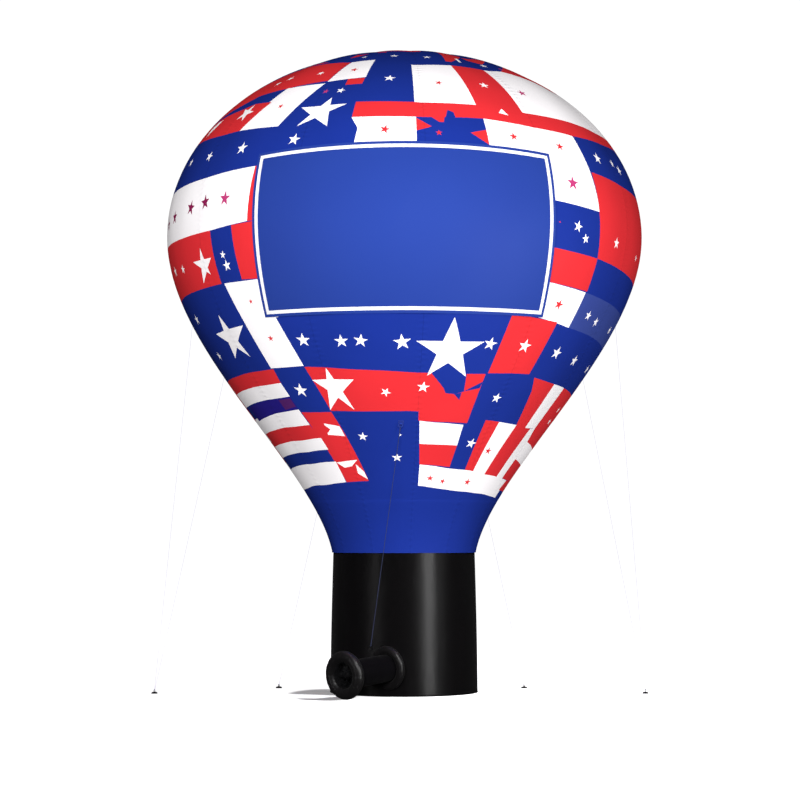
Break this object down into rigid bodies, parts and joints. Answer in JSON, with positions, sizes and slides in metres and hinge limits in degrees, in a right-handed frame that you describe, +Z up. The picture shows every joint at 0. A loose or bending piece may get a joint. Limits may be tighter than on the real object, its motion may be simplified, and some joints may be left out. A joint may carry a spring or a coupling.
{
  "type": "hot air balloon shaped advertising inflatable",
  "caption": "Cold-air inflatable shaped like a hot air balloon, patchwork stars and stripes, with a black base, side blower duct, blank banner and tethers.",
  "frame": {"origin": "on the floor, under the middle of the round base", "axes": "+Z up through the crown; the banner faces -Y; +X to the right as seen from the front"},
  "size_m": [4.676, 4.5393, 6.096],
  "materials": {
    "printed_nylon": "coated nylon, printed with a patchwork of stars and stripes in blue, red and white, satin",
    "blue_nylon": "coated nylon, plain royal blue, satin",
    "black_nylon": "heavy coated nylon, black, satin",
    "banner_vinyl": "printed banner cloth, blue with a white border line, left without lettering",
    "webbing": "woven black webbing",
    "tether_cord": "braided pale cord",
    "black_plastic": "moulded, matt",
    "black_steel": "powder coated"
  },
  "bodies": {
    "root": {"envelope_gore_01": "printed_nylon", "envelope_gore_02": "printed_nylon", "envelope_gore_03": "printed_nylon", "envelope_gore_04": "printed_nylon", "envelope_gore_05": "printed_nylon", "envelope_gore_06": "printed_nylon", "envelope_gore_07": "printed_nylon", "envelope_gore_08": "printed_nylon", "envelope_gore_09": "printed_nylon", "envelope_gore_10": "printed_nylon", "envelope_gore_11": "printed_nylon", "envelope_gore_12": "printed_nylon", "crown_cap": "printed_nylon", "skirt_panel_1": "blue_nylon", "skirt_panel_2": "blue_nylon", "skirt_panel_3": "blue_nylon", "skirt_panel_4": "blue_nylon", "banner_panel": "banner_vinyl", "base_floor": "black_nylon", "base_wall_1": "black_nylon", "base_wall_2": "black_nylon", "base_wall_3": "black_nylon", "base_wall_4": "black_nylon", "deflation_zip": "webbing", "inflation_sleeve": "black_nylon", "port_collar": "black_nylon", "inlet_ring": "black_nylon", "blower_barrel": "black_plastic", "finger_guard": "black_steel", "motor": "black_steel", "motor_bracket": "black_steel", "cable_gland": "black_plastic", "tether_tab_left_front": "webbing", "tether_tab_left_back": "webbing", "tether_tab_back_left": "webbing", "tether_tab_back_right": "webbing", "tether_tab_right_back": "webbing", "tether_tab_right_front": "webbing", "tether_tab_front": "webbing", "tether_tab_base": "webbing", "tether_line_left_front": "tether_cord", "tether_line_left_back": "tether_cord", "tether_line_back_left": "tether_cord", "tether_line_back_right": "tether_cord", "tether_line_right_back": "tether_cord", "tether_line_right_front": "tether_cord", "tether_line_front": "tether_cord", "ground_anchor_left": "black_plastic", "ground_anchor_right": "black_plastic", "ground_anchor_back_left": "black_plastic", "ground_anchor_back_right": "black_plastic"},
    "impeller": {"impeller": "black_plastic"}
  },
  "joints": [
    {"name": "impeller_spin", "type": "hinge", "parent": "root", "child": "impeller", "pos_m": [-0.50947, -1.07239, 0.22513], "axis": [0.6728, 0.7362, 0.0729], "continuous": true}
  ]
}
